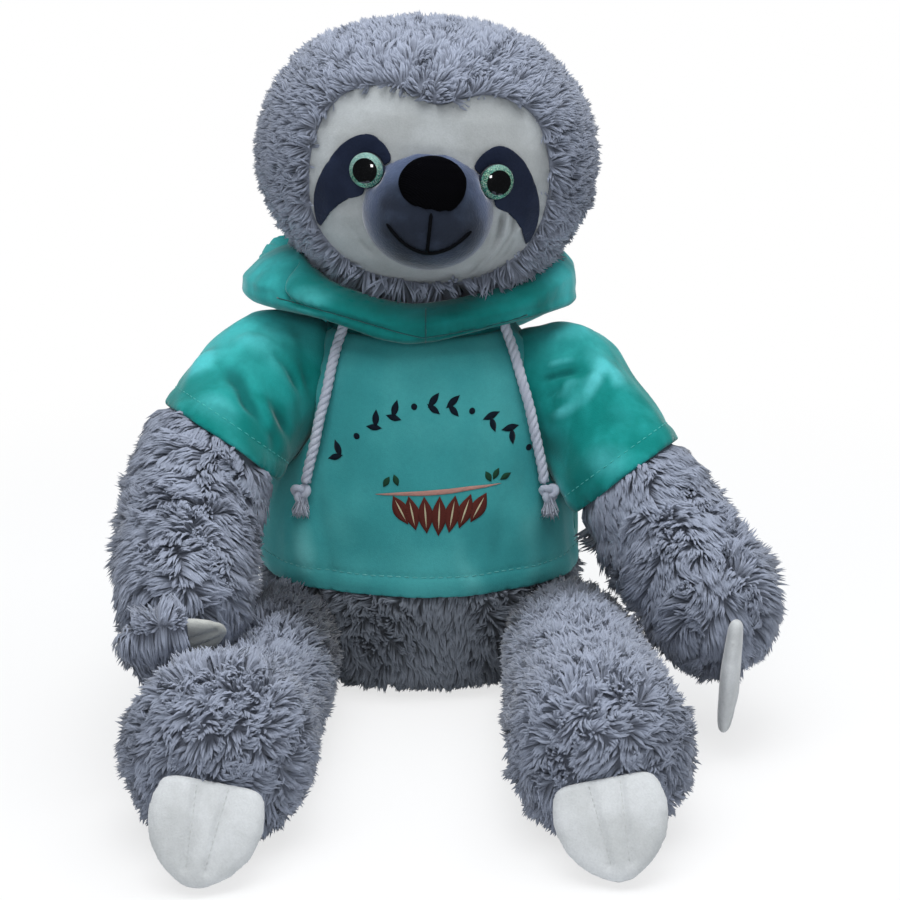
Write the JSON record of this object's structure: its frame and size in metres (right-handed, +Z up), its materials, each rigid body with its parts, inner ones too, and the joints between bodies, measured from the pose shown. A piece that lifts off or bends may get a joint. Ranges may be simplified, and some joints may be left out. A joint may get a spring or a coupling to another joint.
{
  "type": "plush toy sloth",
  "caption": "Long-haired plush sloth that sits with its legs stretched forward, in a short hooded top with drawstrings. Its head turns and its arms, legs and soft claws swing at their seams.",
  "frame": {"origin": "Middle of the flat seat under the stuffed body, on the surface that the toy sits on.", "axes": "+Z is up. The toy faces -Y. +X is the toy's own left."},
  "size_m": [0.3203, 0.3939, 0.3554],
  "materials": {
    "long_fur": "grey-blue long-pile plush, about 20 mm pile",
    "cream_plush": "short cream plush with a fine nap",
    "slate_plush": "short dark slate plush",
    "black_cloth": "black satin and embroidery thread",
    "mint_velour": "light mint velour with turned and stitched hems",
    "teal_velour": "deeper aqua-green velour",
    "white_cord": "white twisted cotton cord, frayed below its knot",
    "eye_plastic": "clear dome over a green glitter iris and a black pupil",
    "washer_plastic": "natural white moulded plastic"
  },
  "bodies": {
    "root": {"torso": "long_fur", "hoodie_front_panel": "mint_velour", "hoodie_back_panel": "teal_velour", "hood": "teal_velour", "drawstring_right": "white_cord", "drawstring_left": "white_cord", "drawstring_knot_right": "white_cord", "drawstring_knot_left": "white_cord"},
    "head": {"head": "long_fur", "face_panel": "cream_plush", "eye_patch_right": "slate_plush", "eye_patch_left": "slate_plush", "eye_right": "eye_plastic", "eye_left": "eye_plastic", "eye_washer_right": "washer_plastic", "eye_washer_left": "washer_plastic", "muzzle": "slate_plush", "nose": "black_cloth", "mouth_stitching": "black_cloth"},
    "arm_right": {"arm_right": "long_fur", "sleeve_right": "teal_velour"},
    "arm_left": {"arm_left": "long_fur", "sleeve_left": "teal_velour"},
    "hand_claws_right": {"hand_claws_right": "cream_plush"},
    "hand_claws_left": {"hand_claws_left": "cream_plush"},
    "leg_right": {"leg_right": "long_fur"},
    "leg_left": {"leg_left": "long_fur"},
    "foot_claws_right": {"foot_claws_right": "cream_plush"},
    "foot_claws_left": {"foot_claws_left": "cream_plush"}
  },
  "joints": [
    {"name": "head_turn", "type": "hinge", "parent": "root", "child": "head", "pos_m": [0.004, -0.01, 0.2088], "axis": [0, 0, 1], "range_deg": [-35, 35]},
    {"name": "arm_raise_right", "type": "hinge", "parent": "root", "child": "arm_right", "pos_m": [-0.079, -0.014, 0.163], "axis": [-1, 0, 0], "range_deg": [0, 32]},
    {"name": "arm_raise_left", "type": "hinge", "parent": "root", "child": "arm_left", "pos_m": [0.078, -0.012, 0.158], "axis": [-1, 0, 0], "range_deg": [0, 50]},
    {"name": "leg_lower_right", "type": "hinge", "parent": "root", "child": "leg_right", "pos_m": [-0.076, -0.066, 0.031], "axis": [1, 0, 0], "range_deg": [0, 70]},
    {"name": "leg_lower_left", "type": "hinge", "parent": "root", "child": "leg_left", "pos_m": [0.078, -0.066, 0.031], "axis": [1, 0, 0], "range_deg": [0, 70]},
    {"name": "hand_claws_swing_right", "type": "hinge", "parent": "arm_right", "child": "hand_claws_right", "pos_m": [-0.1295, -0.1956, 0.0708], "axis": [0.1209, 0.1008, -0.9875], "range_deg": [0, 15]},
    {"name": "hand_claws_swing_left", "type": "hinge", "parent": "arm_left", "child": "hand_claws_left", "pos_m": [0.1567, -0.1497, 0.0533], "axis": [-0.016, -0.4399, 0.8979], "range_deg": [0, 22]},
    {"name": "foot_claws_swing_right", "type": "hinge", "parent": "leg_right", "child": "foot_claws_right", "pos_m": [-0.089, -0.2886, 0.038], "axis": [-0.9835, 0, 0.1807], "range_deg": [0, 35]},
    {"name": "foot_claws_swing_left", "type": "hinge", "parent": "leg_left", "child": "foot_claws_left", "pos_m": [0.085, -0.2823, 0.037], "axis": [-0.9835, 0, -0.1807], "range_deg": [0, 35]}
  ]
}
